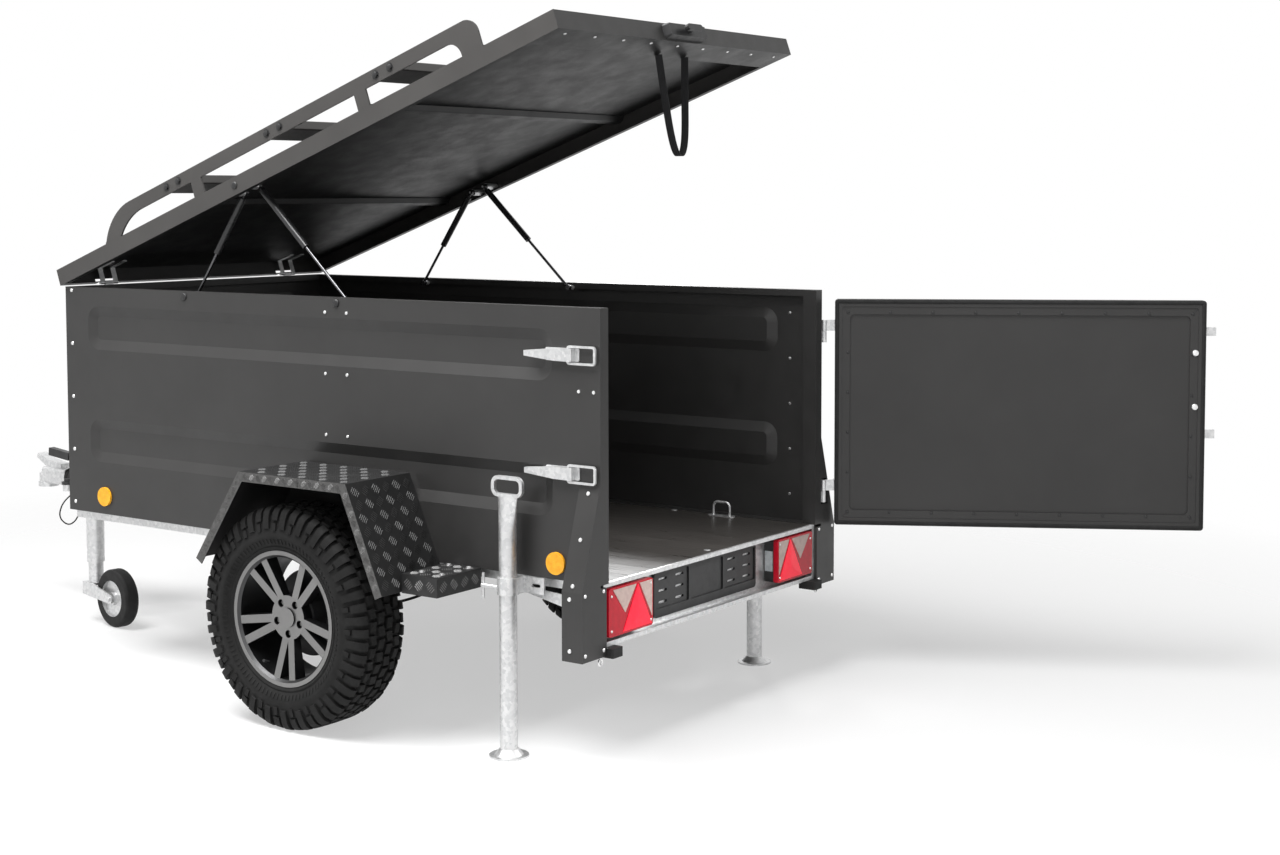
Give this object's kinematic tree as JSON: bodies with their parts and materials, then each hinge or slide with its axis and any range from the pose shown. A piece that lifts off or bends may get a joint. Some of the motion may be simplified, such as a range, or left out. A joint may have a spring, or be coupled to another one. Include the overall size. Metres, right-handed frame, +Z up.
{
  "type": "off-road box trailer",
  "caption": "Single-axle off-road box trailer with front-hinged lid on gas struts, side-hinged rear door, roof rails with crossbars, prop legs and jockey wheel",
  "frame": {"origin": "centre of the coupling's ball socket", "axes": "+X forward along the drawbar, +Y left, +Z up"},
  "size_m": [4.0104, 2.0031, 1.9572],
  "materials": {
    "black_paint": "fine-textured powder coat",
    "black_aluminium": "black anodised",
    "tread_plate": "black five-bar tread plate",
    "galvanised": "zinc-coated",
    "floor_film": "film-faced plywood",
    "black_plastic": "moulded",
    "red_lens": "clear red",
    "amber_lens": "clear amber",
    "rubber": "moulded",
    "tyre_rubber": "all-terrain",
    "alloy": "painted and machined",
    "cast_iron": "black",
    "webbing": "woven",
    "strut_black": "satin",
    "chrome": "polished"
  },
  "bodies": {
    "trailer": {"side_panel_left": "black_paint", "side_panel_right": "black_paint", "front_panel": "black_paint", "rear_posts": "black_paint", "corner_guards": "black_paint", "rear_crossmember": "galvanised", "floor_board": "floor_film", "frame_rails": "galvanised", "cross_beams": "galvanised", "drawbar_arms": "galvanised", "overrun_body": "galvanised", "shaft_bellows": "rubber", "coupling_head": "galvanised", "coupling_lever": "black_plastic", "handbrake_lever": "black_plastic", "axle_beam": "galvanised", "swing_arms": "cast_iron", "mudguards": "tread_plate", "steps": "tread_plate", "buffers": "rubber", "lamp_housings": "black_plastic", "lamp_lenses": "red_lens", "plate_holder": "black_plastic", "side_reflectors": "amber_lens", "lashing_loops": "galvanised", "door_latches": "galvanised", "hinge_posts": "galvanised", "strut_wall_pins": "galvanised", "stand_clamps": "galvanised", "jockey_sleeve": "galvanised"},
    "lid": {"lid_pan": "black_paint", "lid_stiffeners": "black_paint", "roof_rails": "black_paint", "crossbars": "black_aluminium", "lid_lock": "black_plastic", "lid_hinge_leaves": "galvanised", "pull_strap": "webbing", "strut_lid_pins": "galvanised"},
    "door": {"door_panel": "black_paint", "door_hinge_straps": "galvanised", "door_hooks": "galvanised"},
    "wheel_left": {"tyre_left": "tyre_rubber", "rim_left": "alloy", "brake_drum_left": "cast_iron"},
    "wheel_right": {"tyre_right": "tyre_rubber", "rim_right": "alloy", "brake_drum_right": "cast_iron"},
    "leg_left": {"prop_leg_left": "galvanised"},
    "leg_right": {"prop_leg_right": "galvanised"},
    "jockey_stem": {"jockey_tube": "galvanised"},
    "jockey_caster": {"jockey_fork": "galvanised"},
    "jockey_roller": {"jockey_wheel": "rubber"},
    "strut_barrel_front_left": {"strut_barrel_front_left": "strut_black"},
    "strut_rod_front_left": {"strut_rod_front_left": "chrome"},
    "strut_barrel_rear_left": {"strut_barrel_rear_left": "strut_black"},
    "strut_rod_rear_left": {"strut_rod_rear_left": "chrome"},
    "strut_barrel_front_right": {"strut_barrel_front_right": "strut_black"},
    "strut_rod_front_right": {"strut_rod_front_right": "chrome"},
    "strut_barrel_rear_right": {"strut_barrel_rear_right": "strut_black"},
    "strut_rod_rear_right": {"strut_rod_rear_right": "chrome"}
  },
  "joints": [
    {"name": "lid_hinge", "type": "hinge", "parent": "trailer", "child": "lid", "pos_m": [-0.85, 0, 0.7755], "axis": [0, 1, 0], "range_deg": [-19.55, 0]},
    {"name": "door_hinge", "type": "hinge", "parent": "trailer", "child": "door", "pos_m": [-2.956, -0.588, 0], "axis": [0, 0, 1], "range_deg": [-118.86, 0]},
    {"name": "wheel_left_spin", "type": "hinge", "parent": "trailer", "child": "wheel_left", "pos_m": [-2.032, 0.712, -0.111], "axis": [0, 1, 0], "continuous": true},
    {"name": "wheel_right_spin", "type": "hinge", "parent": "trailer", "child": "wheel_right", "pos_m": [-2.032, -0.712, -0.111], "axis": [0, 1, 0], "continuous": true},
    {"name": "leg_left_slide", "type": "slide", "parent": "trailer", "child": "leg_left", "axis": [0, 0, 1], "range_m": [0, 0.34]},
    {"name": "leg_right_slide", "type": "slide", "parent": "trailer", "child": "leg_right", "axis": [0, 0, 1], "range_m": [0, 0.34]},
    {"name": "jockey_lift", "type": "slide", "parent": "trailer", "child": "jockey_stem", "axis": [0, 0, 1], "range_m": [0, 0.065]},
    {"name": "jockey_swivel", "type": "hinge", "parent": "jockey_stem", "child": "jockey_caster", "pos_m": [-0.496, 0.19, -0.285], "axis": [0, 0, 1], "continuous": true},
    {"name": "jockey_spin", "type": "hinge", "parent": "jockey_caster", "child": "jockey_roller", "pos_m": [-0.63068, 0.20893, -0.325], "axis": [0.1392, 0.9903, 0], "continuous": true},
    {"name": "strut_front_left_pivot", "type": "hinge", "parent": "lid", "child": "strut_barrel_front_left", "pos_m": [-1.61831, 0.516, 1.06531], "axis": [0, 1, 0], "range_deg": [-27.49, 0]},
    {"name": "strut_front_left_stroke", "type": "slide", "parent": "strut_barrel_front_left", "child": "strut_rod_front_left", "axis": [0.5717, 0, -0.8205], "range_m": [-0.10851, 0]},
    {"name": "strut_rear_left_pivot", "type": "hinge", "parent": "lid", "child": "strut_barrel_rear_left", "pos_m": [-1.67391, 0.516, 1.08505], "axis": [0, 1, 0], "range_deg": [0, 55.17]},
    {"name": "strut_rear_left_stroke", "type": "slide", "parent": "strut_barrel_rear_left", "child": "strut_rod_rear_left", "axis": [-0.7332, 0, -0.68], "range_m": [-0.1847, 0]},
    {"name": "strut_front_right_pivot", "type": "hinge", "parent": "lid", "child": "strut_barrel_front_right", "pos_m": [-1.61831, -0.516, 1.06531], "axis": [0, 1, 0], "range_deg": [-27.49, 0]},
    {"name": "strut_front_right_stroke", "type": "slide", "parent": "strut_barrel_front_right", "child": "strut_rod_front_right", "axis": [0.5717, 0, -0.8205], "range_m": [-0.10851, 0]},
    {"name": "strut_rear_right_pivot", "type": "hinge", "parent": "lid", "child": "strut_barrel_rear_right", "pos_m": [-1.67391, -0.516, 1.08505], "axis": [0, 1, 0], "range_deg": [0, 55.17]},
    {"name": "strut_rear_right_stroke", "type": "slide", "parent": "strut_barrel_rear_right", "child": "strut_rod_rear_right", "axis": [-0.7332, 0, -0.68], "range_m": [-0.1847, 0]}
  ],
  "couplings": [
    {"joint": "strut_front_left_pivot", "follows": "lid_hinge", "ratio": 1.3958},
    {"joint": "strut_front_left_stroke", "follows": "lid_hinge", "m_per_rad": 0.31653},
    {"joint": "strut_rear_left_pivot", "follows": "lid_hinge", "ratio": -2.8117},
    {"joint": "strut_rear_left_stroke", "follows": "lid_hinge", "m_per_rad": 0.53983},
    {"joint": "strut_front_right_pivot", "follows": "lid_hinge", "ratio": 1.3958},
    {"joint": "strut_front_right_stroke", "follows": "lid_hinge", "m_per_rad": 0.31653},
    {"joint": "strut_rear_right_pivot", "follows": "lid_hinge", "ratio": -2.8117},
    {"joint": "strut_rear_right_stroke", "follows": "lid_hinge", "m_per_rad": 0.53983}
  ]
}
